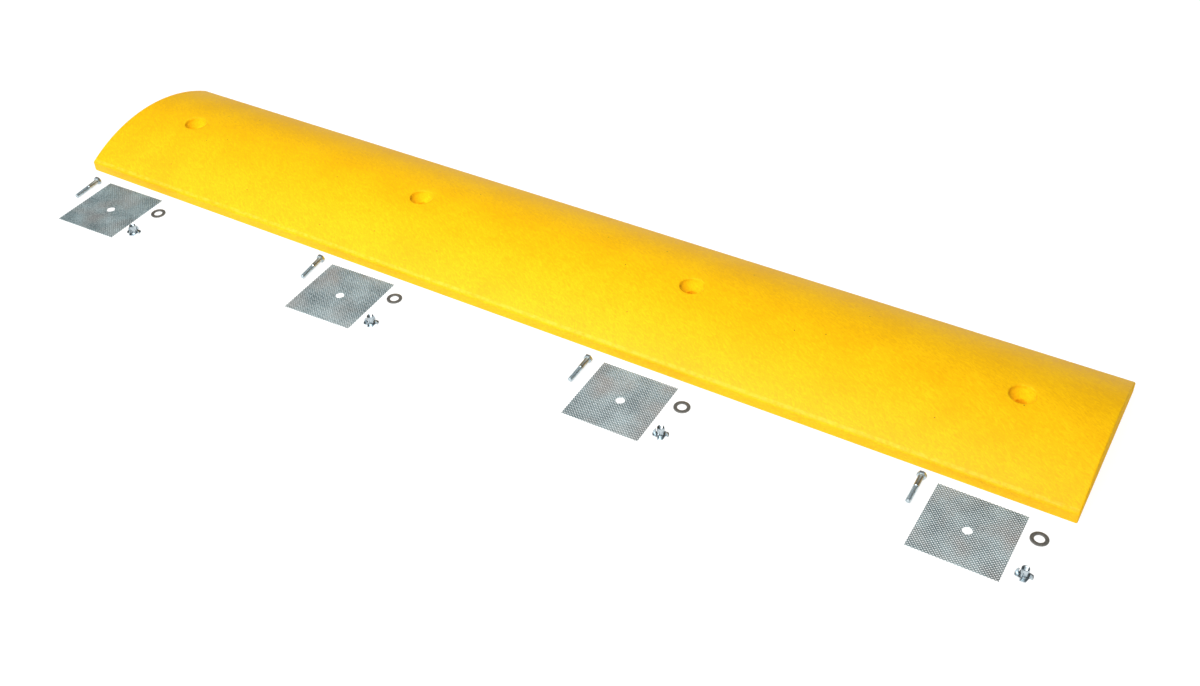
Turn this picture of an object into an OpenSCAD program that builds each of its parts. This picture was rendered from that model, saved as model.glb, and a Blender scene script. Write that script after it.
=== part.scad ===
// One-piece plastic speed bump with its four loose fixing kits laid out in front.
// Each kit is a hex bolt, a square mesh plate, a flat washer and a four-prong tee nut.
// X runs along the bump, Y away from the kits, Z up. Origin: middle of the underside.

/* [Bump] */
// Length of the bump
bump_l = 1829; // [1700:1:2400]
// Width of the bump across the road
bump_w = 300; // [260:1:360]
// Height at the crest
bump_h = 57; // [48:0.5:75]
// Height of the side face up to the sharp corner
lip_h = 17; // [12:0.5:24]
// Rounding of the long top corner
lip_round = 5; // [2:0.5:8]
// Bevel round the crown's edge at each end
end_bevel = 2.5; // [1:0.5:6]

/* [Anchor holes] */
// Distance between neighbouring anchor holes
hole_pitch = 524; // [380:1:550]
// Diameter of the through hole
hole_d = 16.8; // [12:0.1:20]
// Diameter of the recess at its mouth
recess_d = 40; // [34:0.5:60]
// Depth of the recess's steep wall
recess_wall = 5; // [3:0.5:8]
// Depth of the top of the through hole below the crest
seat_depth = 17; // [14:0.5:26]
// Draft of the steep wall, as the narrowing of its radius
wall_draft = 0.5; // [0.2:0.1:1.5]
// Softened rim of the recess
rim_bevel = 1.2; // [0.5:0.1:3]

/* [Mesh plates] */
// Side of the square plate
plate_side = 127; // [110:1:150]
// Thickness of the plate
plate_t = 1.2; // [0.8:0.1:3]
// Diameter of the plate's centre hole
plate_hole_d = 14.3; // [11.5:0.1:16]
// Width of the strands between the openings
strand_w = 2.6; // [1.6:0.1:4]
// Openings from the plate's centre to its edge
mesh_steps = 10; // [6:2:10]

/* [Hex bolts] */
// Diameter of the plain shank
shank_d = 7.94; // [6:0.01:9.5]
// Crest diameter of the threaded end
thread_d = 7.8; // [5.8:0.01:9.4]
// Length under the head
bolt_l = 50.8; // [40:0.1:70]
// Length of the threaded end
thread_l = 30; // [20:0.5:38]
// Bevel at the bolt's tip
tip_bevel = 1.2; // [0.5:0.1:2]
// Width of the head across its flats
head_af = 12.7; // [11:0.1:15]
// Height of the head with its bearing collar
head_h = 5.4; // [4:0.1:8]
// Height of the round bearing collar under the head
collar_h = 0.4; // [0.2:0.1:0.8]

/* [Washers] */
// Outer diameter of the washer
washer_od = 25.4; // [20:0.1:30]
// Bore of the washer
washer_id = 14.3; // [10:0.1:17]
// Thickness of the washer
washer_t = 1.7; // [1:0.1:3]

/* [Tee nuts] */
// Diameter of the flange
flange_d = 24; // [21:0.5:30]
// Thickness of the flange and the prongs
flange_t = 1.5; // [1:0.1:2]
// Outer diameter of the barrel
barrel_d = 10.7; // [10:0.1:12]
// Height of the whole nut
nut_h = 14.3; // [10:0.1:20]
// Clearance round the bolt's thread in the barrel
thread_clear = 0.1; // [0.05:0.05:0.2]
// Rounding between the flange and the barrel
nut_fillet = 0.9; // [0.3:0.1:1.2]
// Width of a prong where it leaves the flange
prong_w = 4.2; // [3:0.1:4.5]
// Height of a prong's point above the ground
prong_h = 8.2; // [5:0.1:9]

/* [Layout of the kits] */
// Clear ground between the bump and the mesh plates
front_gap = 19; // [10:1:60]
// Clear ground between a mesh plate and its bolt
bolt_gap = 16.5; // [10:0.5:40]
// Clear ground between a mesh plate and its washer
washer_gap = 10; // [5:0.5:40]
// Clear ground between a mesh plate and its tee nut
nut_gap = 12.5; // [5:0.5:40]

/* [Hidden] */

$fn = 96;
kits = 4;
prongs = 4;
cut = 1;                      // how far a cutter runs past the face that it opens

crown_rise = bump_h - lip_h;
crown_r = (pow(bump_w / 2, 2) + pow(crown_rise, 2)) / (2 * crown_rise);
crown_z = bump_h - crown_r;   // height of the crown's axis, far below the ground

corner_y = bump_w / 2 - lip_round;
corner_z = crown_z + sqrt(pow(crown_r - lip_round, 2) - pow(corner_y, 2));
tangent_y = corner_y * crown_r / (crown_r - lip_round);

mesh_step = plate_side / 2 / mesh_steps;      // half the spacing of a row's openings
opening_w = mesh_step * sqrt(2) - strand_w;
opening_reach = opening_w / sqrt(2);          // from an opening's centre to its corner
hole_land = 1.5;                              // metal kept round the centre hole

head_r = head_af / 2;
bolt_tilt = atan((head_r - thread_d / 2) / (bolt_l - tip_bevel));

flange_r = flange_d / 2;
nut_bore_d = thread_d + 2 * thread_clear;
prong_x = flange_r - prong_w; // the chord along which the prongs are cut free

// Small slips from the regular layout, one entry a kit: right, away, turned left.
plate_slip = [[-2, 0, 1.5], [-2.5, 0, 2], [2, 0, 0.5], [6.5, 0, -0.5]];
bolt_slip = [[1.5, 48.5, 1.5], [-1.5, 56.5, 4], [-0.5, 50.5, -0.5], [0, 59.5, 0]];
washer_slip = [[-1, 31.5], [-2, 36], [0.5, 31], [0.5, 31.5]];
nut_slip = [[0, -30.5, 0], [1, -31.5, 5], [-1.5, -34, 0], [-0.5, -38, -15]];

function hole_x(k) = (k - (kits + 1) / 2) * hole_pitch;
function plate_x(k) = hole_x(k) + plate_slip[k - 1][0];
function plate_y(k) = -bump_w / 2 - front_gap - plate_side / 2 + plate_slip[k - 1][1];

// Cross-section of the bump, with Y across and Z up
module bump_profile() {
    intersection() {
        translate([0, crown_z]) circle(r = crown_r, $fn = 360);
        translate([-tangent_y, 0]) square([2 * tangent_y, bump_h + cut]);
    }
    translate([-bump_w / 2, 0]) square([bump_w, corner_z]);
    for (side = [-1, 1])
        translate([side * corner_y, corner_z]) circle(r = lip_round);
}

// Barrel about the crown's axis that trims a bevel along the crown's end edges
module end_trim() {
    over = 1;                 // clear of the crown except at the ends
    translate([-bump_l / 2, 0, crown_z])
        rotate([90, 0, 90])
            rotate_extrude($fn = 360)
                polygon([[0, 0], [crown_r - end_bevel, 0],
                         [crown_r + over, end_bevel + over],
                         [crown_r + over, bump_l - end_bevel - over],
                         [crown_r - end_bevel, bump_l], [0, bump_l]]);
}

// Anchor hole with its drafted recess and the dish under it, from the crest down
module anchor_cut() {
    mouth_r = recess_d / 2;
    rotate_extrude()
        polygon([[0, cut], [mouth_r + rim_bevel + cut, cut], [mouth_r, -rim_bevel],
                 [mouth_r - wall_draft, -recess_wall], [hole_d / 2, -seat_depth],
                 [hole_d / 2, -bump_h - cut], [0, -bump_h - cut]]);
}

module bump_body() {
    color("gold")
        difference() {
            intersection() {
                translate([-bump_l / 2, 0, 0])
                    rotate([90, 0, 90]) linear_extrude(bump_l) bump_profile();
                end_trim();
            }
            for (k = [1:kits]) translate([hole_x(k), 0, bump_h]) anchor_cut();
        }
}

// Square plate with staggered diamond openings that run out at its edges
module mesh_plate(k) {
    color("slategray")
        translate([plate_x(k), plate_y(k), 0])
            rotate(plate_slip[k - 1][2])
                linear_extrude(plate_t)
                    difference() {
                        square(plate_side, center = true);
                        for (i = [-mesh_steps:mesh_steps], j = [-mesh_steps:mesh_steps])
                            if ((i + j) % 2 != 0 && mesh_step * norm([i, j])
                                > plate_hole_d / 2 + hole_land + opening_reach)
                                translate([i * mesh_step, j * mesh_step])
                                    rotate(45) square(opening_w, center = true);
                        circle(d = plate_hole_d);
                    }
}

// Bolt along +Z with its bearing face at z = 0 and a flat of the head towards -Y
module upright_bolt() {
    thread_r = thread_d / 2;
    intersection() {
        translate([0, 0, -head_h])
            cylinder(r = head_r / cos(30), h = head_h - collar_h, $fn = 6);
        translate([0, 0, -head_h])
            cylinder(r1 = head_r * 0.95, r2 = head_r * 0.95 + head_h * 2, h = head_h);
    }
    rotate_extrude()
        polygon([[0, -head_h / 2], [head_r * 0.97, -head_h / 2], [head_r * 0.97, 0],
                 [shank_d / 2, 0], [shank_d / 2, bolt_l - thread_l],
                 [thread_r, bolt_l - thread_l], [thread_r, bolt_l - tip_bevel],
                 [thread_r - tip_bevel, bolt_l], [0, bolt_l]]);
}

// Bolt lying on a flat of its head with its tip on the ground, pointing at -Y
module hex_bolt(k) {
    slip = bolt_slip[k - 1];
    color("silver")
        translate([plate_x(k) - plate_side / 2 - bolt_gap - head_r + slip[0],
                   plate_y(k) + slip[1], head_r * cos(bolt_tilt)])
            rotate(slip[2])
                rotate([90 + bolt_tilt, 0, 0]) upright_bolt();
}

module washer(k) {
    slip = washer_slip[k - 1];
    color("dimgray")
        translate([plate_x(k) + plate_side / 2 + washer_gap + washer_od / 2 + slip[0],
                   plate_y(k) + slip[1], 0])
            difference() {
                cylinder(d = washer_od, h = washer_t);
                translate([0, 0, -cut]) cylinder(d = washer_id, h = washer_t + 2 * cut);
            }
}

// Flange and barrel in one turned shape, with the bore through both
module nut_blank() {
    barrel_r = barrel_d / 2;
    bore_r = nut_bore_d / 2;
    rotate_extrude()
        difference() {
            union() {
                translate([bore_r, 0]) square([flange_r - bore_r, flange_t]);
                translate([bore_r, 0]) square([barrel_r - bore_r, nut_h]);
                translate([barrel_r, flange_t]) square(nut_fillet);
            }
            translate([barrel_r + nut_fillet, flange_t + nut_fillet]) circle(nut_fillet);
        }
}

// Segment of the flange that was cut free along a chord and bent up, standing on its end
module prong() {
    translate([0, flange_t, 0])
        rotate([90, 0, 0])
            linear_extrude(flange_t)
                intersection() {
                    circle(flange_r);
                    translate([prong_x, 0]) square([prong_w, prong_h]);
                }
}

// The gap that the bent-up segment left beside its prong
module bite() {
    translate([prong_x, -flange_r, -cut])
        cube([prong_w + cut, flange_r, flange_t + 2 * cut]);
}

module tee_nut(k) {
    slip = nut_slip[k - 1];
    color("lightsteelblue")
        translate([plate_x(k) + plate_side / 2 + nut_gap + flange_r + slip[0],
                   plate_y(k) + slip[1], 0])
            rotate(slip[2]) {
                difference() {
                    nut_blank();
                    for (n = [1:prongs]) rotate(n * 360 / prongs) bite();
                }
                for (n = [1:prongs]) rotate(n * 360 / prongs) prong();
            }
}

bump_body();
for (k = [1:kits]) {
    hex_bolt(k);
    mesh_plate(k);
    washer(k);
    tee_nut(k);
}
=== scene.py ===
import math

import bpy
from mathutils import Matrix, Vector


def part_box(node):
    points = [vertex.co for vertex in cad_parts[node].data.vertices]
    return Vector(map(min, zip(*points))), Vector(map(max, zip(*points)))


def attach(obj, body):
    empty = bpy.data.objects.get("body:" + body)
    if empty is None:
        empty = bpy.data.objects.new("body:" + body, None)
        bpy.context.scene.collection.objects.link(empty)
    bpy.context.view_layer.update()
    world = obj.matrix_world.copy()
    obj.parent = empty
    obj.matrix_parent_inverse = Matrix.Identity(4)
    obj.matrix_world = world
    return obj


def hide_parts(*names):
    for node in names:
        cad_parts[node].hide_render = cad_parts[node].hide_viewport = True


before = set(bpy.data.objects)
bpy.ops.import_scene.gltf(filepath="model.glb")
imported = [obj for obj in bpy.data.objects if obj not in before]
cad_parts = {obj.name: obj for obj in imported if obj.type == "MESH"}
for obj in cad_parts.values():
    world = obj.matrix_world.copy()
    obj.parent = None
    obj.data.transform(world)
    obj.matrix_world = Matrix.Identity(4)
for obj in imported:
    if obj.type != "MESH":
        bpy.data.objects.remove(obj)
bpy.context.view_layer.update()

kits = (1, 2, 3, 4)
mm = 0.001
weldGap = 0.01 * mm  # points nearer than this become one
cutGap = 0.001 * mm  # points nearer than this to a cut lie on it


# Small tools for modelling

def linear(code):
    # sRGB hex to the linear values that the shader wants
    parts = [int(code[i:i + 2], 16) / 255 for i in (1, 3, 5)]
    return [p / 12.92 if p <= 0.04045 else ((p + 0.055) / 1.055) ** 2.4 for p in parts] + [1]


def deselectAll():
    if bpy.context.object and bpy.context.object.mode != "OBJECT":
        bpy.ops.object.mode_set(mode="OBJECT")
    bpy.ops.object.select_all(action="DESELECT")


def use(piece):
    deselectAll()
    piece.select_set(True)
    bpy.context.view_layer.objects.active = piece
    return piece


def edit(piece, domain="VERT"):
    use(piece)
    modes = [domain == kind for kind in ("VERT", "EDGE", "FACE")]
    bpy.context.tool_settings.mesh_select_mode = modes
    bpy.ops.object.mode_set(mode="EDIT")


def pickEdges(piece, test):
    # Goes into edit mode with only the edges whose two ends pass the test
    use(piece)
    mesh = piece.data
    for part in [*mesh.vertices, *mesh.edges, *mesh.polygons]:
        part.select = False
    for edge in mesh.edges:
        edge.select = test(*[mesh.vertices[i].co for i in edge.vertices])
    edit(piece, "EDGE")


def point(name, place):
    # One loose vertex, the start of a profile that is drawn by extrude and spin
    deselectAll()
    bpy.ops.mesh.primitive_plane_add(size=mm, location=place)
    piece = bpy.context.object
    piece.name = name
    bpy.ops.object.transform_apply(location=True, rotation=True, scale=True)
    edit(piece)
    bpy.ops.mesh.select_all(action="SELECT")
    bpy.ops.mesh.merge(type="CENTER")
    return piece


def line(step):
    bpy.ops.mesh.extrude_region_move(TRANSFORM_OT_translate={"value": step})


def arc(center, axis, degrees, steps):
    bpy.ops.mesh.spin(steps=steps, angle=math.radians(degrees), center=center, axis=axis)


def polyline(name, points):
    # A profile through the given points, left in edit mode with its last vertex selected
    piece = point(name, points[0])
    for a, b in zip(points, points[1:]):
        line(Vector(b) - Vector(a))
    return piece


def lathe(name, profile, steps=64):
    # Turns a closed outline of (radius, height) points round the Z axis. Spin would do it too,
    # but gives its faces in another order each run
    piece = polyline(name, [(r, 0, z) for r, z in profile])
    modify(piece, "SCREW", axis="Z", angle=math.radians(360), steps=steps, render_steps=steps,
           use_merge_vertices=True, merge_threshold=weldGap)
    tidy(piece)
    return piece


def tidy(piece):
    # Welds doubles and turns the faces outward
    edit(piece)
    bpy.ops.mesh.select_all(action="SELECT")
    bpy.ops.mesh.remove_doubles(threshold=weldGap)
    bpy.ops.mesh.normals_make_consistent(inside=False)
    bpy.ops.object.mode_set(mode="OBJECT")


def modify(piece, kind, **settings):
    use(piece)
    m = piece.modifiers.new(kind.title(), kind)
    for key, value in settings.items():
        setattr(m, key, value)
    bpy.ops.object.modifier_apply(modifier=m.name)


def carve(piece, tool, how="DIFFERENCE"):
    modify(piece, "BOOLEAN", operation=how, object=tool, solver="EXACT")
    bpy.data.objects.remove(tool)


def cutAt(piece, place, normal, fill=False, keep=None):
    # Cuts every face at a plane and may drop what lies before or behind it
    edit(piece)
    bpy.ops.mesh.select_all(action="SELECT")
    bpy.ops.mesh.bisect(plane_co=place, plane_no=normal, use_fill=fill, threshold=cutGap,
                        clear_inner=keep == "front", clear_outer=keep == "behind")
    bpy.ops.object.mode_set(mode="OBJECT")


def smooth(piece, degrees=30):
    use(piece)
    bpy.ops.object.shade_smooth_by_angle(angle=math.radians(degrees))


def settle(piece):
    use(piece)
    bpy.ops.object.transform_apply(location=True, rotation=True, scale=True)


def copyOf(piece, name):
    new = piece.copy()
    new.data = piece.data.copy()
    new.name = name
    bpy.context.scene.collection.objects.link(new)
    return new


def boxOf(piece):
    places = [piece.matrix_world @ v.co for v in piece.data.vertices]
    low = Vector([min(p[i] for p in places) for i in range(3)])
    high = Vector([max(p[i] for p in places) for i in range(3)])
    return low, high


def seat(piece, node):
    # Puts a finished shape where the frame holds the node, resting at the same height
    settle(piece)
    low, high = boxOf(piece)
    nodeLow, nodeHigh = [Vector(corner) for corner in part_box(node)]
    step = (nodeLow + nodeHigh) / 2 - (low + high) / 2
    step.z = nodeLow.z - low.z
    piece.location = step
    settle(piece)


def finishPiece(piece, material, node, body):
    piece.data.materials.clear()
    piece.data.materials.append(material)
    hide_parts(node)
    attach(piece, body)


# Materials

def addNode(tree, kind, inputs=None, **settings):
    node = tree.nodes.new("ShaderNode" + kind)
    for key, value in settings.items():
        setattr(node, key, value)
    for key, value in (inputs or {}).items():
        if isinstance(value, bpy.types.NodeSocket):
            tree.links.new(value, node.inputs[key])
        else:
            node.inputs[key].default_value = value
    return node


def newMaterial(name):
    material = bpy.data.materials.new(name)
    material.use_nodes = True
    tree = material.node_tree
    shader = tree.nodes["Principled BSDF"]
    place = addNode(tree, "TexCoord").outputs["Object"]
    return material, tree, shader, place


def ramp(tree, value, stops):
    node = addNode(tree, "ValToRGB", {"Fac": value})
    while len(node.color_ramp.elements) < len(stops):
        node.color_ramp.elements.new(0.5)
    for element, (spot, color) in zip(node.color_ramp.elements, stops):
        element.position = spot
        element.color = linear(color)
    return node.outputs["Color"]


def mouldedPolyethylene():
    # Moulded polyethylene: waxy, with short slanting felted streaks, faint clouds, a pale band
    # along both lips that is partly wear and partly painted highlight, and a few small dark specks
    look = {"deep": "#EEB000", "body": "#F6BB00", "pale": "#FDC808", "streak": (9, 2.6),
            "slant": -31, "cloudSize": 70, "cloudShare": 0.22, "grainSize": 1.1,
            "wearAndHighlight": "#FFDC50", "wearAndHighlightAt": 145.5, "wearAndHighlightWide": 2.2, "wearAndHighlightSize": 9,
            "wearAndHighlightShare": 0.35, "speck": "#8A5A14", "speckApart": 90, "speckSize": 1.3,
            "speckShare": 0.8, "bareCells": 0.62, "relief": 0.3, "reliefDeep": 0.4,
            "rough": (0.42, 0.6), "matteRough": 0.95, "endFrom": 913.5, "recessTo": 21,
            "recessBelow": 55.8}
    material, tree, shader, place = newMaterial("moulded yellow polyethylene")
    streakLong, streakWide = [size * mm for size in look["streak"]]
    turned = addNode(tree, "Mapping", {"Vector": place,
                                       "Scale": (streakLong, streakWide, streakWide),
                                       "Rotation": (0, 0, math.radians(look["slant"]))},
                     vector_type="TEXTURE")
    streaks = addNode(tree, "TexNoise", {"Vector": turned.outputs["Vector"], "Scale": 1,
                                         "Detail": 4, "Roughness": 0.65, "Distortion": 1})
    clouds = addNode(tree, "TexNoise", {"Vector": place, "Scale": 1000 / look["cloudSize"],
                                        "Detail": 3})
    both = addNode(tree, "Mix", {"Factor": look["cloudShare"], "A": streaks.outputs["Fac"],
                                 "B": clouds.outputs["Fac"]}, data_type="FLOAT")
    color = ramp(tree, both.outputs["Result"],
                 [(0.38, look["deep"]), (0.5, look["body"]), (0.62, look["pale"])])

    apart = addNode(tree, "SeparateXYZ", {"Vector": place})
    aside = addNode(tree, "Math", {0: apart.outputs["Y"]}, operation="ABSOLUTE")
    # A pale band along both lip edges: partly wear, partly a painted highlight of the rounded edge
    # catching the light
    edge = addNode(tree, "Math", {0: aside.outputs[0], 1: look["wearAndHighlightAt"] * mm,
                                  2: look["wearAndHighlightWide"] * mm}, operation="COMPARE")
    wearAndHighlightNoise = addNode(tree, "TexNoise", {"Vector": place, "Scale": 1000 / look["wearAndHighlightSize"],
                                        "Detail": 5})
    share = addNode(tree, "MapRange", {"Value": wearAndHighlightNoise.outputs["Fac"], "From Min": 0.35,
                                       "From Max": 0.65, "To Max": look["wearAndHighlightShare"]})
    wearAndHighlight = addNode(tree, "Math", {0: edge.outputs[0], 1: share.outputs["Result"]},
                   operation="MULTIPLY")
    withWearAndHighlight = addNode(tree, "MixRGB", {"Fac": wearAndHighlight.outputs[0], "Color1": color,
                                        "Color2": linear(look["wearAndHighlight"])})
    spots = addNode(tree, "TexVoronoi", {"Vector": place, "Scale": 1000 / look["speckApart"]},
                    voronoi_dimensions="2D")
    near = addNode(tree, "MapRange", {"Value": spots.outputs["Distance"],
                                      "From Min": look["speckSize"] / look["speckApart"],
                                      "From Max": 0.6 * look["speckSize"] / look["speckApart"],
                                      "To Max": look["speckShare"]})
    chosen = addNode(tree, "Math", {0: spots.outputs["Color"], 1: look["bareCells"]},
                     operation="GREATER_THAN")
    speck = addNode(tree, "Math", {0: near.outputs["Result"], 1: chosen.outputs[0]},
                    operation="MULTIPLY")
    whole = addNode(tree, "MixRGB", {"Fac": speck.outputs[0],
                                     "Color1": withWearAndHighlight.outputs["Color"],
                                     "Color2": linear(look["speck"])})

    grain = addNode(tree, "TexNoise", {"Vector": place, "Scale": 1000 / look["grainSize"],
                                       "Detail": 3})
    relief = addNode(tree, "Mix", {"Factor": 0.6, "A": grain.outputs["Fac"],
                                   "B": streaks.outputs["Fac"]}, data_type="FLOAT")
    bump = addNode(tree, "Bump", {"Height": relief.outputs["Result"],
                                  "Strength": look["relief"],
                                  "Distance": look["reliefDeep"] * mm})
    rough = addNode(tree, "MapRange", {"Value": streaks.outputs["Fac"], "From Min": 0.3,
                                       "From Max": 0.7, "To Min": look["rough"][0],
                                       "To Max": look["rough"][1]})
    # Both ends and the four recesses came out of the mould matte
    along = addNode(tree, "Math", {0: apart.outputs["X"]}, operation="ABSOLUTE")
    atEnd = addNode(tree, "Math", {0: along.outputs[0], 1: look["endFrom"] * mm},
                    operation="GREATER_THAN")
    onCrest = addNode(tree, "Math", {0: aside.outputs[0], 1: look["recessTo"] * mm},
                      operation="LESS_THAN")
    below = addNode(tree, "Math", {0: apart.outputs["Z"], 1: look["recessBelow"] * mm},
                    operation="LESS_THAN")
    inRecess = addNode(tree, "Math", {0: onCrest.outputs[0], 1: below.outputs[0]},
                       operation="MULTIPLY")
    matte = addNode(tree, "Math", {0: atEnd.outputs[0], 1: inRecess.outputs[0]},
                    operation="MAXIMUM")
    allRough = addNode(tree, "Mix", {"Factor": matte.outputs[0], "A": rough.outputs["Result"],
                                     "B": look["matteRough"]}, data_type="FLOAT")
    tree.links.new(whole.outputs["Color"], shader.inputs["Base Color"])
    tree.links.new(bump.outputs["Normal"], shader.inputs["Normal"])
    tree.links.new(allRough.outputs["Result"], shader.inputs["Roughness"])
    shader.inputs["IOR"].default_value = 1.5
    shader.inputs["Specular IOR Level"].default_value = 0.2
    return material


def zincPlate(name, dull, bright, rough):
    # Bright zinc plate: faint drawn scratches under a thin milky bloom
    look = {"bloomSize": 5, "scratch": (6, 0.25), "scratchDeep": 0.1, "scratchShare": 0.12,
            "edge": "#A0A8AC"}
    material, tree, shader, place = newMaterial(name)
    bloom = addNode(tree, "TexNoise", {"Vector": place, "Scale": 1000 / look["bloomSize"],
                                       "Detail": 3})
    color = ramp(tree, bloom.outputs["Fac"], [(0.3, dull), (0.62, bright)])
    alongScale, acrossScale = [1000 / size for size in look["scratch"]]
    drawn = addNode(tree, "Mapping", {"Vector": place,
                                      "Scale": (acrossScale, alongScale, acrossScale)})
    scratches = addNode(tree, "TexNoise", {"Vector": drawn.outputs["Vector"], "Scale": 1,
                                           "Detail": 2})
    bump = addNode(tree, "Bump", {"Height": scratches.outputs["Fac"],
                                  "Strength": look["scratchShare"],
                                  "Distance": look["scratchDeep"] * mm})
    milky = addNode(tree, "MapRange", {"Value": bloom.outputs["Fac"], "From Min": 0.3,
                                       "From Max": 0.7, "To Min": rough[0], "To Max": rough[1]})
    tree.links.new(color, shader.inputs["Base Color"])
    tree.links.new(bump.outputs["Normal"], shader.inputs["Normal"])
    tree.links.new(milky.outputs["Result"], shader.inputs["Roughness"])
    shader.inputs["Metallic"].default_value = 1
    shader.inputs["Specular Tint"].default_value = linear(look["edge"])
    return material


def galvanisedMesh():
    # Galvanised steel: bluish-green zinc in small crystals, with brown storage stain in places
    look = {"dark": "#72868A", "light": "#B8CBCE", "stain": "#9A908A", "crystalSize": 1.7,
            "crystalDeep": 0.1, "crystalShare": 0.15, "cloudSize": 45, "cloudShare": 0.65,
            "stainSize": 60, "stainShare": 0.6, "rough": (0.36, 0.6), "metallic": 0.65}
    material, tree, shader, place = newMaterial("galvanised steel")
    crystals = addNode(tree, "TexVoronoi", {"Vector": place,
                                            "Scale": 1000 / look["crystalSize"]})
    patches = addNode(tree, "TexNoise", {"Vector": place, "Scale": 1000 / look["stainSize"],
                                         "Detail": 2})
    clouds = addNode(tree, "TexNoise", {"Vector": place, "Scale": 1000 / look["cloudSize"],
                                        "Detail": 1})
    both = addNode(tree, "MixRGB", {"Fac": look["cloudShare"],
                                    "Color1": crystals.outputs["Color"],
                                    "Color2": clouds.outputs["Fac"]})
    zincTone = ramp(tree, both.outputs["Color"], [(0.3, look["dark"]), (0.7, look["light"])])
    stained = addNode(tree, "MapRange", {"Value": patches.outputs["Fac"], "From Min": 0.45,
                                         "From Max": 0.7, "To Max": look["stainShare"]})
    color = addNode(tree, "MixRGB", {"Fac": stained.outputs["Result"], "Color1": zincTone,
                                     "Color2": linear(look["stain"])})
    bump = addNode(tree, "Bump", {"Height": crystals.outputs["Distance"],
                                  "Strength": look["crystalShare"],
                                  "Distance": look["crystalDeep"] * mm})
    rough = addNode(tree, "MapRange", {"Value": patches.outputs["Fac"], "From Min": 0.35,
                                       "From Max": 0.65, "To Min": look["rough"][0],
                                       "To Max": look["rough"][1]})
    tree.links.new(color.outputs["Color"], shader.inputs["Base Color"])
    tree.links.new(bump.outputs["Normal"], shader.inputs["Normal"])
    tree.links.new(rough.outputs["Result"], shader.inputs["Roughness"])
    shader.inputs["Metallic"].default_value = look["metallic"]
    return material


def stampedSteel():
    # Plain stamped steel: a neutral mid grey with fine mill marks and small dark specks
    look = {"dark": "#6E6D6B", "light": "#96958F", "markSize": 3, "markDeep": 0.1,
            "markShare": 0.2, "speckSize": 0.7, "speckShare": 0.35, "rough": (0.55, 0.4),
            "metallic": 0.8}
    material, tree, shader, place = newMaterial("plain stamped steel")
    marks = addNode(tree, "TexNoise", {"Vector": place, "Scale": 1000 / look["markSize"],
                                       "Detail": 5})
    specks = addNode(tree, "TexNoise", {"Vector": place, "Scale": 1000 / look["speckSize"],
                                        "Detail": 2})
    both = addNode(tree, "Mix", {"Factor": look["speckShare"], "A": marks.outputs["Fac"],
                                 "B": specks.outputs["Fac"]}, data_type="FLOAT")
    color = ramp(tree, both.outputs["Result"], [(0.36, look["dark"]), (0.64, look["light"])])
    bump = addNode(tree, "Bump", {"Height": both.outputs["Result"],
                                  "Strength": look["markShare"],
                                  "Distance": look["markDeep"] * mm})
    rough = addNode(tree, "MapRange", {"Value": both.outputs["Result"], "From Min": 0.35,
                                       "From Max": 0.65, "To Min": look["rough"][0],
                                       "To Max": look["rough"][1]})
    tree.links.new(color, shader.inputs["Base Color"])
    tree.links.new(bump.outputs["Normal"], shader.inputs["Normal"])
    tree.links.new(rough.outputs["Result"], shader.inputs["Roughness"])
    shader.inputs["Metallic"].default_value = look["metallic"]
    return material


plastic = mouldedPolyethylene()
blueZinc = zincPlate("clear blue zinc plate", "#AFBCC1", "#D2DFE4", (0.45, 0.3))
nutZinc = zincPlate("bright zinc plate", "#97A3A9", "#C5D0D5", (0.3, 0.2))
# Yellowish zinc for the bolts' plain shanks: a painted reflection of the yellow bump
zincWithPaintedReflection = zincPlate("zinc plate with painted yellow reflection", "#A8A794", "#CCCCC0", (0.45, 0.32))
galvanised = galvanisedMesh()
washerSteel = stampedSteel()
print("materials made")


# The bump, one moulding

bump = {"lipHeight": 17 * mm, "lipRound": 5 * mm, "endRound": 2.5 * mm, "holes": 4,
        "holeGap": 524 * mm, "holeWidth": 16.8 * mm, "recessWidth": 40 * mm,
        "recessWall": 5 * mm, "seatDepth": 17 * mm, "draft": 1.5 * mm, "rimRound": 1.6 * mm,
        "rimBand": (0.3 * mm, 2 * mm), "toolOver": 5 * mm, "patch": 34 * mm, "crownSteps": 40,
        "lipSteps": 8, "endSteps": 4, "rimSteps": 5, "holeSides": 96, "creaseUnder": 32}
# Steps in mm, outward and up, round the foot of a recess's wall and over its hole's edge
footCurve = [(0.1, 0.7), (-0.25, -0.1), (-1, -0.9)]
holeCurve = [(0.8, 0.7), (0.2, 0.1), (0, -0.8)]


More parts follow.
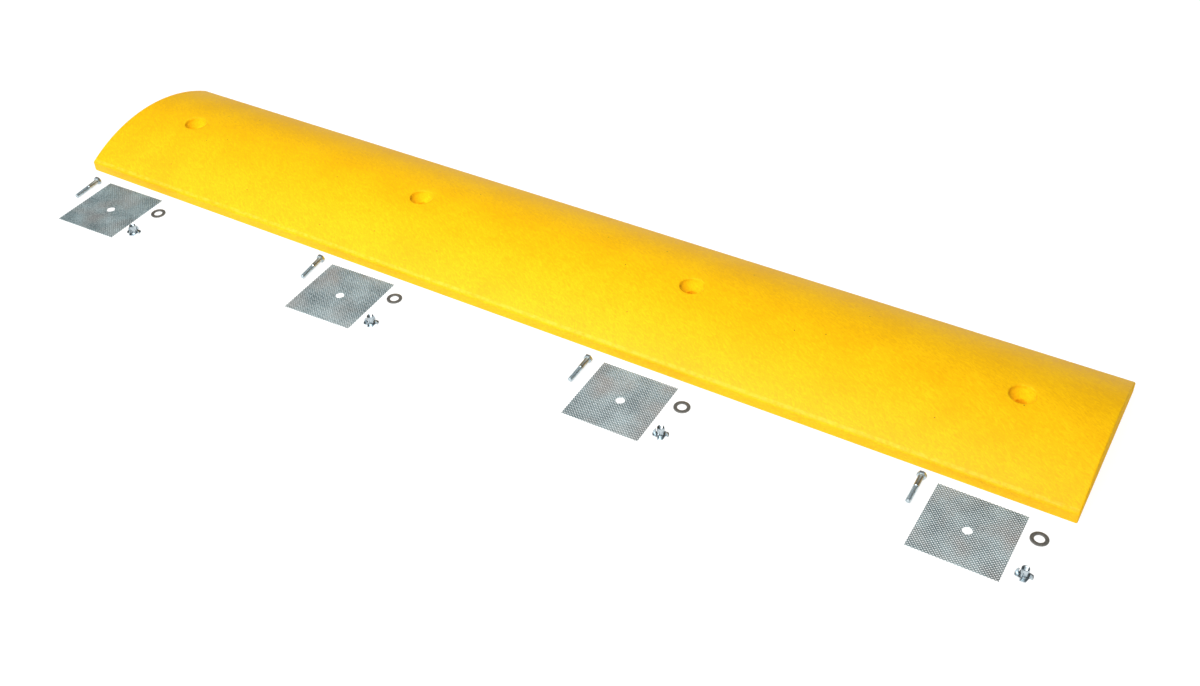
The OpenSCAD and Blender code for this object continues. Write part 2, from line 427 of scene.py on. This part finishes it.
def bumpBody():
    low, high = [Vector(corner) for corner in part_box("bump_body")]
    halfWidth, height, length = high.y, high.z, high.x - low.x
    rise = height - bump["lipHeight"]
    crownRadius = (halfWidth ** 2 + rise ** 2) / (2 * rise)
    axisHeight = height - crownRadius
    r = bump["lipRound"]
    cornerY = halfWidth - r
    cornerZ = axisHeight + math.sqrt((crownRadius - r) ** 2 - cornerY ** 2)
    crownHalf = math.degrees(math.asin(cornerY / (crownRadius - r)))

    # Outline of the left end: side face, lip round, crown, and down again
    piece = point("bumpMoulding", (low.x, -halfWidth, 0))
    line((0, 0, cornerZ))
    arc((low.x, -cornerY, cornerZ), (1, 0, 0), 90 - crownHalf, bump["lipSteps"])
    arc((low.x, 0, axisHeight), (1, 0, 0), 2 * crownHalf, bump["crownSteps"])
    arc((low.x, cornerY, cornerZ), (1, 0, 0), 90 - crownHalf, bump["lipSteps"])
    line((0, 0, -cornerZ))
    bpy.ops.mesh.select_all(action="SELECT")
    bpy.ops.mesh.edge_face_add()
    line((length, 0, 0))
    tidy(piece)

    # Round the upper edges of both ends
    def atEndEdge(a, b):
        sameEnd = abs(a.x - b.x) < mm and min(abs(a.x - low.x), abs(a.x - high.x)) < mm
        return sameEnd and (a.z > mm or b.z > mm)
    pickEdges(piece, atEndEdge)
    bpy.ops.mesh.bevel(offset=bump["endRound"], segments=bump["endSteps"], profile=0.5)
    bpy.ops.object.mode_set(mode="OBJECT")

    spots = [(i - (bump["holes"] - 1) / 2) * bump["holeGap"] for i in range(bump["holes"])]
    for spot in spots:
        for side in (-1, 1):
            cutAt(piece, (spot + side * bump["patch"], 0, 0), (1, 0, 0))
    for spot in spots:
        tool = recessTool()
        tool.location = (spot, 0, height)
        settle(tool)
        carve(piece, tool)

    # Soften each recess's mouth
    mouth = bump["recessWidth"] / 2
    near, below = bump["rimBand"]

    def atRim(a, b):
        for spot in spots:
            if all(abs(math.hypot(p.x - spot, p.y) - mouth) < near and p.z > height - below
                   for p in (a, b)):
                return True
        return False
    pickEdges(piece, atRim)
    bpy.ops.mesh.bevel(offset=bump["rimRound"], segments=bump["rimSteps"], profile=0.5)
    tidy(piece)
    smooth(piece, bump["creaseUnder"])
    finishPiece(piece, plastic, "bump_body", "bump")


def recessTool():
    # From the mouth down: drafted wall, rounded floor edge, dish, through hole
    mouth, hole = bump["recessWidth"] / 2, bump["holeWidth"] / 2
    wall, seatDeep, over = bump["recessWall"], bump["seatDepth"], bump["toolOver"]
    foot = mouth - bump["draft"]
    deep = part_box("bump_body")[1][2] + over
    profile = [(0, over), (mouth + bump["draft"] * over / wall, over), (mouth, 0)]
    profile += [(foot + out * mm, up * mm - wall) for out, up in footCurve]
    profile += [(hole + out * mm, up * mm - seatDeep) for out, up in holeCurve]
    profile += [(hole, -deep), (0, -deep)]
    return lathe("recessTool", profile, bump["holeSides"])


bumpBody()
print("bump made")


# The mesh plates

plate = {"side": 127 * mm, "rows": 26, "strand": 1.3 * mm, "holeWidth": 14.3 * mm,
         "holeSides": 64, "cutterLong": 10 * mm, "weld": 0.02 * mm,
         "turns": (1.5, 2, 0.5, -0.5)}


def meshPlates():
    # One diamond of strands, repeated both ways, trimmed square and given its thickness
    low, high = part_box("mesh_plate_1")
    step = plate["side"] / plate["rows"]
    slant = step / math.sqrt(2)
    deselectAll()
    bpy.ops.mesh.primitive_plane_add(size=slant, rotation=(0, 0, math.radians(45)))
    cell = bpy.context.object
    settle(cell)
    edit(cell, "FACE")
    bpy.ops.mesh.select_all(action="SELECT")
    bpy.ops.mesh.inset(thickness=plate["strand"] / 2)
    bpy.ops.mesh.delete(type="FACE")
    bpy.ops.object.mode_set(mode="OBJECT")
    count = plate["rows"] * 2 + 2
    for x, y in ((0.5, 0.5), (-0.5, 0.5)):
        modify(cell, "ARRAY", count=count, use_relative_offset=False, use_constant_offset=True,
               constant_offset_displace=(x * step, y * step, 0), use_merge_vertices=True,
               merge_threshold=plate["weld"])
    cell.location = (0, -step * count / 2 + step / 2, 0)
    settle(cell)
    for normal in ((1, 0, 0), (-1, 0, 0), (0, 1, 0), (0, -1, 0)):
        cutAt(cell, Vector(normal) * plate["side"] / 2, normal, keep="behind")
    modify(cell, "SOLIDIFY", thickness=high[2] - low[2], offset=1)
    deselectAll()
    bpy.ops.mesh.primitive_cylinder_add(vertices=plate["holeSides"],
                                        radius=plate["holeWidth"] / 2,
                                        depth=plate["cutterLong"])
    carve(cell, bpy.context.object)
    tidy(cell)
    smooth(cell)
    for k, turn in zip(kits, plate["turns"]):
        piece = copyOf(cell, "meshPlate.%d" % k)
        piece.rotation_euler = (0, 0, math.radians(turn))
        node = "mesh_plate_%d" % k
        seat(piece, node)
        finishPiece(piece, galvanised, node, node)
    bpy.data.objects.remove(cell)


meshPlates()
print("mesh plates made")


# The washers

washer = {"outside": 25.4 * mm, "inside": 14.3 * mm, "thick": 1.7 * mm, "edge": 0.25 * mm,
          "sides": 72}


def washers():
    # A small chamfer below and a wider round above, as on a punched edge
    out, hole = washer["outside"] / 2, washer["inside"] / 2
    high, e = washer["thick"], washer["edge"]
    wide, middle = 2 * e, 0.6 * e
    blank = lathe("washerBlank", [
        (hole, e), (hole + e, 0), (out - e, 0), (out, e), (out, high - wide),
        (out - middle, high - middle), (out - wide, high), (hole + wide, high),
        (hole + middle, high - middle), (hole, high - wide), (hole, e)], washer["sides"])
    smooth(blank)
    for k in kits:
        piece = copyOf(blank, "washer.%d" % k)
        node = "washer_%d" % k
        seat(piece, node)
        finishPiece(piece, washerSteel, node, node)
    bpy.data.objects.remove(blank)


washers()
print("washers made")


# The hex bolts, each lying on a flat of its head with its tip on the ground

bolt = {"flats": 12.7 * mm, "headHigh": 5.4 * mm, "collarHigh": 0.4 * mm, "edge": 0.12 * mm,
        "shank": 7.94 * mm, "long": 50.8 * mm, "threadLong": 30 * mm, "crest": 7.8 * mm,
        "pitch": 25.4 / 18 * mm, "depth": 0.8 * mm, "tip": 1.2 * mm, "turnSteps": 24,
        "fillet": 0.5 * mm, "runOut": (0.5 * mm, 0.7 * mm), "threadFrom": 0.3 * mm,
        "paintedReflectionFrom": 0.3 * mm, "crownShare": 0.95, "collarShare": 0.97, "headSides": 96, "sides": 64,
        "creaseUnder": 28, "turns": (1.5, 4, -0.5, 0)}
thread = {"crestLand": 0.125, "rootLand": 0.25, "spare": 2}


def threadRod(name, crest, root, pitch, low, high, steps):
    # One pitch of the profile swept up a helix, cut flat and capped at both heights
    crestLand, rootLand = thread["crestLand"] * pitch, thread["rootLand"] * pitch
    flank = (pitch - crestLand - rootLand) / 2
    start = low - thread["spare"] * pitch
    rod = polyline(name, [
        (root, 0, start), (root, 0, start + rootLand), (crest, 0, start + rootLand + flank),
        (crest, 0, start + rootLand + flank + crestLand), (root, 0, start + pitch)])
    bpy.ops.object.mode_set(mode="OBJECT")
    count = math.ceil((high - low) / pitch) + 2 * thread["spare"]
    modify(rod, "SCREW", axis="Z", angle=math.radians(360), screw_offset=pitch,
           iterations=count, steps=steps, render_steps=steps, use_merge_vertices=True,
           merge_threshold=weldGap)
    tidy(rod)
    cutAt(rod, (0, 0, low), (0, 0, 1), True, "front")
    cutAt(rod, (0, 0, high), (0, 0, 1), True, "behind")
    tidy(rod)
    return rod


def hexBolts():
    b = bolt
    flat, shank, crest = b["flats"] / 2, b["shank"] / 2, b["crest"] / 2
    smoothLong = b["long"] - b["threadLong"]
    hexHigh = b["headHigh"] - b["collarHigh"]
    deselectAll()
    bpy.ops.mesh.primitive_cylinder_add(vertices=6, radius=flat / math.cos(math.radians(30)),
                                        depth=hexHigh,
                                        location=(0, 0, -b["collarHigh"] - hexHigh / 2))
    head = bpy.context.object
    head.rotation_euler = (0, 0, math.radians(30))
    settle(head)
    crown = b["crownShare"] * flat
    chamfer = lathe("headChamfer", [
        (0, -b["headHigh"]), (crown, -b["headHigh"]), (crown + 2 * b["headHigh"], 0), (0, 0)],
        b["headSides"])
    carve(head, chamfer, "INTERSECT")
    modify(head, "BEVEL", width=b["edge"], segments=2, limit_method="ANGLE",
           angle_limit=math.radians(25))

    # Collar, plain shank and its run-out into the thread
    collar, fillet, root = b["collarShare"] * flat, b["fillet"], crest - b["depth"]
    shankEnd, coneEnd = smoothLong - b["runOut"][0], smoothLong + b["runOut"][1]
    body = lathe("boltBody", [
        (0, -b["headHigh"] / 2), (collar - b["edge"], -b["headHigh"] / 2),
        (collar, -b["collarHigh"]), (collar, -b["edge"]), (collar - b["edge"], 0),
        (shank + fillet, 0), (shank + 0.3 * fillet, 0.3 * fillet), (shank, fillet),
        (shank, shankEnd), (root, coneEnd), (0, coneEnd)], b["sides"])
    rod = threadRod("boltThread", crest, root, b["pitch"], smoothLong + b["threadFrom"],
                    b["long"] + mm, b["turnSteps"])
    nose = lathe("boltNose", [
        (0, 0), (crest + mm, 0), (crest + mm, b["long"] - b["tip"] - mm),
        (crest - b["tip"], b["long"]), (0, b["long"])], b["sides"])
    carve(rod, nose, "INTERSECT")
    carve(head, body, "UNION")
    carve(head, rod, "UNION")
    tidy(head)
    smooth(head, b["creaseUnder"])
    # A yellowish zinc on the plain shank only: a painted reflection of the yellow bump beside the
    # bolt heads
    onShank = [int(b["paintedReflectionFrom"] < face.center.z < shankEnd)
               for face in head.data.polygons]
    tilt = math.atan((flat - crest) / (b["long"] - b["tip"]))
    for k, turn in zip(kits, b["turns"]):
        piece = copyOf(head, "hexBolt.%d" % k)
        piece.rotation_euler = (math.radians(90) + tilt, 0, math.radians(turn))
        node = "hex_bolt_%d" % k
        seat(piece, node)
        finishPiece(piece, blueZinc, node, node)
        piece.data.materials.append(zincWithPaintedReflection)
        for face, paintedReflection in zip(piece.data.polygons, onShank):
            face.material_index = paintedReflection
    bpy.data.objects.remove(head)


hexBolts()
print("hex bolts made")


# The tee nuts: four segments of each round flange are cut free along a chord and bent up

teeNut = {"flange": 24 * mm, "thick": 1.5 * mm, "barrel": 10.7 * mm, "bore": 8 * mm,
          "high": 14.3 * mm, "prongs": 4, "prongWide": 4.2 * mm, "prongHigh": 8.2 * mm,
          "fillet": 0.9 * mm, "edge": 0.2 * mm, "fold": 0.9 * mm, "foldSteps": 3,
          "threadDeep": 0.5 * mm, "mouthDeep": 0.7 * mm, "tapOver": 1 * mm, "tapGap": 0.05 * mm,
          "near": 0.05 * mm, "sides": 96, "prongSteps": 12, "tapSteps": 24,
          "creaseUnder": 32, "turns": (0, 5, 0, -15)}


def prongBlank():
    # The segment standing on its cut end, its curved edge once part of the rim
    t = teeNut
    rim, foot = t["flange"] / 2, t["thick"] / 2
    footAngle, tipAngle = math.asin(foot / rim), math.asin(t["prongHigh"] / rim)
    inner = rim - t["prongWide"]
    blank = point("prongBlank", (inner, 0, foot))
    line((rim * math.cos(footAngle) - inner, 0, 0))
    arc((0, 0, 0), (0, 1, 0), math.degrees(tipAngle - footAngle), t["prongSteps"])
    line((inner - rim * math.cos(tipAngle), 0, 0))
    bpy.ops.mesh.select_all(action="SELECT")
    bpy.ops.mesh.edge_face_add()
    line((0, t["thick"], 0))
    tidy(blank)
    modify(blank, "BEVEL", width=t["edge"], segments=2, limit_method="ANGLE",
           angle_limit=math.radians(40))
    return blank


def teeNuts():
    t = teeNut
    rim, barrel, bore = t["flange"] / 2, t["barrel"] / 2, t["bore"] / 2
    thick, high, mouthDeep = t["thick"], t["high"], t["mouthDeep"]
    e, r, inner = t["edge"], t["fillet"], bore - t["threadDeep"]
    chord = rim - t["prongWide"]
    nut = lathe("teeNutBlank", [
        (bore + 2 * e, 0), (rim - e, 0), (rim, e), (rim, thick - e), (rim - e, thick),
        (barrel + r, thick), (barrel + 0.6 * r, thick + 0.08 * r),
        (barrel + 0.3 * r, thick + 0.3 * r), (barrel + 0.08 * r, thick + 0.6 * r),
        (barrel, thick + r), (barrel, high - 2 * e), (barrel - 0.6 * e, high - 0.6 * e),
        (barrel - 2 * e, high), (bore + 2 * e, high), (inner, high - mouthDeep),
        (inner, mouthDeep), (bore + 2 * e, 0)], t["sides"])
    quarter = 360 / t["prongs"]
    for n in range(t["prongs"]):
        deselectAll()
        bpy.ops.mesh.primitive_cube_add(size=1, location=(chord + rim / 2, -rim / 2, 0))
        bite = bpy.context.object
        bite.scale = (rim, rim, 4 * thick)
        settle(bite)
        bite.rotation_euler = (0, 0, math.radians(quarter * n))
        settle(bite)
        carve(nut, bite)
    for n in range(t["prongs"]):
        blank = prongBlank()
        blank.rotation_euler = (0, 0, math.radians(quarter * n))
        settle(blank)
        carve(nut, blank, "UNION")
    tidy(nut)

    # The metal rounds over where each prong was folded
    def atFold(a, b):
        for n in range(t["prongs"]):
            turn = Matrix.Rotation(math.radians(-quarter * n), 3, "Z")
            ends = [turn @ a, turn @ b]
            if all(abs(p.y) < t["near"] and p.z < t["near"] and p.x > chord - t["near"]
                   for p in ends):
                return True
        return False
    pickEdges(nut, atFold)
    bpy.ops.mesh.bevel(offset=t["fold"], segments=t["foldSteps"], profile=0.5)
    tidy(nut)
    tap = threadRod("teeNutTap", bore, inner - t["tapGap"], bolt["pitch"], -t["tapOver"],
                    high + t["tapOver"], t["tapSteps"])
    carve(nut, tap)
    tidy(nut)
    smooth(nut, t["creaseUnder"])
    for k, turn in zip(kits, t["turns"]):
        piece = copyOf(nut, "teeNut.%d" % k)
        piece.rotation_euler = (0, 0, math.radians(turn))
        node = "tee_nut_%d" % k
        seat(piece, node)
        finishPiece(piece, nutZinc, node, node)
    bpy.data.objects.remove(nut)


teeNuts()
print("tee nuts made")


# Floor, light and camera

studio = {"floorWide": 100, "floorTone": "#848483", "floorRough": 0.9, "glowFrom": -0.2,
          "glowTo": 1.2, "nearGlow": 0.85, "farGlow": 0.92, "backdropWide": 80,
          "backdropHigh": 60, "backdropSides": 96, "surround": 0.1, "glow": 3.5,
          "glowRise": 60, "glowAside": 10, "glowFocus": 6}
keyBox = {"place": (-0.18, -0.95, 1.35), "target": (-0.18, 0, 0), "size": (1.2, 0.5),
          "power": 14}
photoView = {"place": (1.0163, -1.5005, 1.3501), "azimuth": 31.724, "elevation": 40.003,
             "roll": -1.987, "lens": 40.5, "sensor": 36, "clip": (0.05, 1000)}


def floor():
    deselectAll()
    bpy.ops.mesh.primitive_plane_add(size=studio["floorWide"])
    ground = bpy.context.object
    ground.name = "floor"
    material, tree, shader, place = newMaterial("matt white paper")
    shader.inputs["Base Color"].default_value = linear(studio["floorTone"])
    shader.inputs["Roughness"].default_value = studio["floorRough"]
    # A paper lit from below, a little more towards the back, where the lamp reaches less
    apart = addNode(tree, "SeparateXYZ", {"Vector": place})
    glow = addNode(tree, "MapRange", {"Value": apart.outputs["Y"],
                                      "From Min": studio["glowFrom"],
                                      "From Max": studio["glowTo"],
                                      "To Min": studio["nearGlow"],
                                      "To Max": studio["farGlow"]})
    shader.inputs["Emission Color"].default_value = (1, 1, 1, 1)
    tree.links.new(glow.outputs["Result"], shader.inputs["Emission Strength"])
    ground.data.materials.append(material)


def backdrop():
    # A far white wall that only the camera sees, so low views end in white as well
    deselectAll()
    bpy.ops.mesh.primitive_cylinder_add(vertices=studio["backdropSides"],
                                        radius=studio["backdropWide"] / 2,
                                        depth=studio["backdropHigh"], end_fill_type="NOTHING")
    wall = bpy.context.object
    wall.name = "backdrop"
    material, tree, shader, place = newMaterial("white backdrop")
    shader.inputs["Base Color"].default_value = (0, 0, 0, 1)
    shader.inputs["Emission Color"].default_value = (1, 1, 1, 1)
    shader.inputs["Emission Strength"].default_value = 1
    wall.data.materials.append(material)
    wall.visible_diffuse = False
    wall.visible_glossy = False
    wall.visible_shadow = False


def softbox(name, box):
    data = bpy.data.lights.new(name, "AREA")
    data.shape = "RECTANGLE"
    data.size, data.size_y = box["size"]
    data.energy = box["power"]
    lamp = bpy.data.objects.new(name, data)
    bpy.context.scene.collection.objects.link(lamp)
    lamp.visible_camera = False
    lamp.location = box["place"]
    aim = Vector(box["target"]) - Vector(box["place"])
    lamp.rotation_euler = aim.to_track_quat("-Z", "Y").to_euler()


def lights():
    # A wide soft glow from the front, left and above, over an even dim surround
    world = bpy.data.worlds.new("studio")
    bpy.context.scene.world = world
    world.use_nodes = True
    tree = world.node_tree
    rise, aside = math.radians(studio["glowRise"]), math.radians(studio["glowAside"])
    middle = (-math.cos(rise) * math.sin(aside), -math.cos(rise) * math.cos(aside),
              math.sin(rise))
    way = addNode(tree, "TexCoord").outputs["Generated"]
    facing = addNode(tree, "VectorMath", {0: way, 1: middle}, operation="DOT_PRODUCT")
    ahead = addNode(tree, "Math", {0: facing.outputs["Value"], 1: 0}, operation="MAXIMUM")
    lobe = addNode(tree, "Math", {0: ahead.outputs[0], 1: studio["glowFocus"]},
                   operation="POWER")
    total = addNode(tree, "Math", {0: lobe.outputs[0], 1: studio["glow"],
                                   2: studio["surround"]}, operation="MULTIPLY_ADD")
    back = tree.nodes["Background"]
    back.inputs["Color"].default_value = (1, 1, 1, 1)
    tree.links.new(total.outputs[0], back.inputs["Strength"])
    softbox("key", keyBox)


def camera():
    data = bpy.data.cameras.new("camera")
    data.sensor_width = photoView["sensor"]
    data.sensor_fit = "HORIZONTAL"
    data.lens = photoView["lens"]
    data.clip_start, data.clip_end = photoView["clip"]
    cam = bpy.data.objects.new("camera", data)
    bpy.context.scene.collection.objects.link(cam)
    turn = (Matrix.Rotation(math.radians(photoView["azimuth"]), 4, "Z")
            @ Matrix.Rotation(math.radians(90 - photoView["elevation"]), 4, "X")
            @ Matrix.Rotation(math.radians(photoView["roll"]), 4, "Z"))
    cam.matrix_world = Matrix.Translation(photoView["place"]) @ turn
    bpy.context.scene.camera = cam


floor()
backdrop()
lights()
camera()
bpy.context.scene.view_settings.view_transform = "Standard"
print("studio made")
